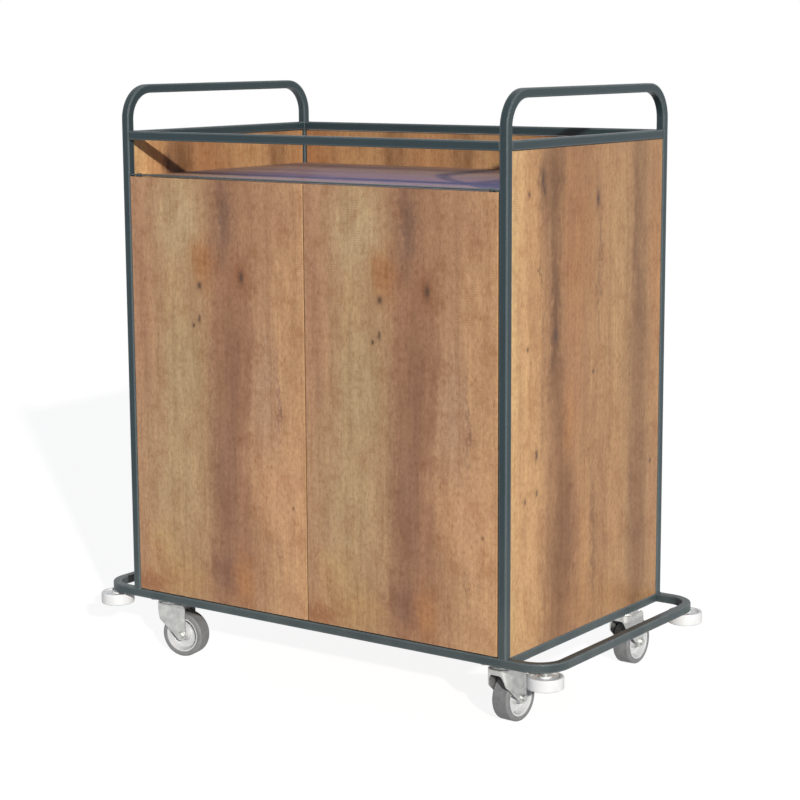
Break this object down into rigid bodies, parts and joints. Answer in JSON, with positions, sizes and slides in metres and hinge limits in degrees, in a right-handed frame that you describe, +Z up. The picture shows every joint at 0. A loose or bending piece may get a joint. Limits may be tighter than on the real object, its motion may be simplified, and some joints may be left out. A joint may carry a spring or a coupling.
{
  "type": "minibar cart",
  "caption": "Hotel minibar cart: square-tube frame with two end handles, oak-laminate cabinet with inset doors, open top tray, swivel casters and a bumper ring with corner rollers.",
  "frame": {"origin": "on the floor, at the middle of the cart", "axes": "+X to the right along the width, -Y the front with the doors, +Z up"},
  "size_m": [1.302, 0.703, 1.367],
  "materials": {
    "powder_coated_steel": "satin powder coat",
    "oak_laminate": "satin laminate with knotty oak grain",
    "zinc_plated_steel": "bright zinc plate",
    "grey_rubber": "matte",
    "grey_polypropylene": "satin moulded",
    "white_nylon": "satin",
    "black_plastic": "satin",
    "black_rubber": "matte"
  },
  "bodies": {
    "cart_frame": {"left_side_hoop": "powder_coated_steel", "right_side_hoop": "powder_coated_steel", "front_top_rail": "powder_coated_steel", "back_top_rail": "powder_coated_steel", "side_top_rails": "powder_coated_steel", "bumper_ring": "powder_coated_steel", "base_rails": "powder_coated_steel", "caster_mounting_plates": "powder_coated_steel", "left_side_panel": "oak_laminate", "right_side_panel": "oak_laminate", "back_panel": "oak_laminate", "panel_lugs": "powder_coated_steel", "inner_screws": "zinc_plated_steel", "floor_board": "oak_laminate", "lower_shelf": "oak_laminate", "upper_shelf": "oak_laminate", "shelf_supports": "zinc_plated_steel", "tray_board": "oak_laminate", "tray_angles": "powder_coated_steel", "tray_stiffener": "powder_coated_steel", "pivot_ears": "powder_coated_steel", "pivot_pins": "powder_coated_steel", "pivot_washers": "black_plastic", "latch_bodies": "black_plastic", "door_buffers": "black_rubber", "bumper_spindles": "zinc_plated_steel", "bumper_spacers": "zinc_plated_steel", "bumper_inserts": "zinc_plated_steel", "caster_top_plates": "zinc_plated_steel", "caster_kingpins": "zinc_plated_steel", "caster_bolts": "zinc_plated_steel"},
    "left_door": {"left_door": "oak_laminate", "left_door_bushes": "black_plastic", "left_striker_plate": "zinc_plated_steel"},
    "right_door": {"right_door": "oak_laminate", "right_door_bushes": "black_plastic", "right_striker_plate": "zinc_plated_steel"},
    "left_latch_plunger": {"left_latch_plunger": "white_nylon"},
    "right_latch_plunger": {"right_latch_plunger": "white_nylon"},
    "front_left_roller": {"front_left_roller": "grey_polypropylene"},
    "front_left_caster": {"front_left_fork": "zinc_plated_steel", "front_left_axle": "zinc_plated_steel"},
    "front_left_wheel": {"front_left_hub": "grey_polypropylene", "front_left_tyre": "grey_rubber"},
    "front_right_roller": {"front_right_roller": "grey_polypropylene"},
    "front_right_caster": {"front_right_fork": "zinc_plated_steel", "front_right_axle": "zinc_plated_steel"},
    "front_right_wheel": {"front_right_hub": "grey_polypropylene", "front_right_tyre": "grey_rubber"},
    "rear_left_roller": {"rear_left_roller": "grey_polypropylene"},
    "rear_left_caster": {"rear_left_fork": "zinc_plated_steel", "rear_left_axle": "zinc_plated_steel"},
    "rear_left_wheel": {"rear_left_hub": "grey_polypropylene", "rear_left_tyre": "grey_rubber"},
    "rear_right_roller": {"rear_right_roller": "grey_polypropylene"},
    "rear_right_caster": {"rear_right_fork": "zinc_plated_steel", "rear_right_axle": "zinc_plated_steel"},
    "rear_right_wheel": {"rear_right_hub": "grey_polypropylene", "rear_right_tyre": "grey_rubber"}
  },
  "joints": [
    {"name": "left_door_hinge", "type": "hinge", "parent": "cart_frame", "child": "left_door", "pos_m": [-0.4875, -0.331, 0.171], "axis": [0, 0, -1], "range_deg": [0, 120]},
    {"name": "right_door_hinge", "type": "hinge", "parent": "cart_frame", "child": "right_door", "pos_m": [0.4875, -0.331, 0.171], "axis": [0, 0, 1], "range_deg": [0, 120]},
    {"name": "left_latch_push", "type": "slide", "parent": "cart_frame", "child": "left_latch_plunger", "axis": [0, 1, 0], "range_m": [0, 0.0035], "stiffness_N_per_m": 300},
    {"name": "right_latch_push", "type": "slide", "parent": "cart_frame", "child": "right_latch_plunger", "axis": [0, 1, 0], "range_m": [0, 0.0035], "stiffness_N_per_m": 300},
    {"name": "front_left_roller_spin", "type": "hinge", "parent": "cart_frame", "child": "front_left_roller", "pos_m": [-0.61096, -0.31096, 0.144], "axis": [0, 0, 1], "continuous": true},
    {"name": "front_right_roller_spin", "type": "hinge", "parent": "cart_frame", "child": "front_right_roller", "pos_m": [0.61096, -0.31096, 0.144], "axis": [0, 0, 1], "continuous": true},
    {"name": "rear_left_roller_spin", "type": "hinge", "parent": "cart_frame", "child": "rear_left_roller", "pos_m": [-0.61096, 0.31096, 0.144], "axis": [0, 0, 1], "continuous": true},
    {"name": "rear_right_roller_spin", "type": "hinge", "parent": "cart_frame", "child": "rear_right_roller", "pos_m": [0.61096, 0.31096, 0.144], "axis": [0, 0, 1], "continuous": true},
    {"name": "front_left_swivel", "type": "hinge", "parent": "cart_frame", "child": "front_left_caster", "pos_m": [-0.476, -0.262, 0.147], "axis": [0, 0, 1], "continuous": true},
    {"name": "front_right_swivel", "type": "hinge", "parent": "cart_frame", "child": "front_right_caster", "pos_m": [0.476, -0.262, 0.147], "axis": [0, 0, 1], "continuous": true},
    {"name": "rear_left_swivel", "type": "hinge", "parent": "cart_frame", "child": "rear_left_caster", "pos_m": [-0.476, 0.262, 0.147], "axis": [0, 0, 1], "continuous": true},
    {"name": "rear_right_swivel", "type": "hinge", "parent": "cart_frame", "child": "rear_right_caster", "pos_m": [0.476, 0.262, 0.147], "axis": [0, 0, 1], "continuous": true},
    {"name": "front_left_wheel_spin", "type": "hinge", "parent": "front_left_caster", "child": "front_left_wheel", "pos_m": [-0.44055, -0.25575, 0.054], "axis": [-0.1736, 0.9848, 0], "continuous": true},
    {"name": "front_right_wheel_spin", "type": "hinge", "parent": "front_right_caster", "child": "front_right_wheel", "pos_m": [0.47788, -0.22605, 0.054], "axis": [-0.9986, 0.0523, 0], "continuous": true},
    {"name": "rear_left_wheel_spin", "type": "hinge", "parent": "rear_left_caster", "child": "rear_left_wheel", "pos_m": [-0.458, 0.29318, 0.054], "axis": [-0.866, 0.5, 0], "continuous": true},
    {"name": "rear_right_wheel_spin", "type": "hinge", "parent": "rear_right_caster", "child": "rear_right_wheel", "pos_m": [0.476, 0.298, 0.054], "axis": [-1, 0, 0], "continuous": true}
  ]
}
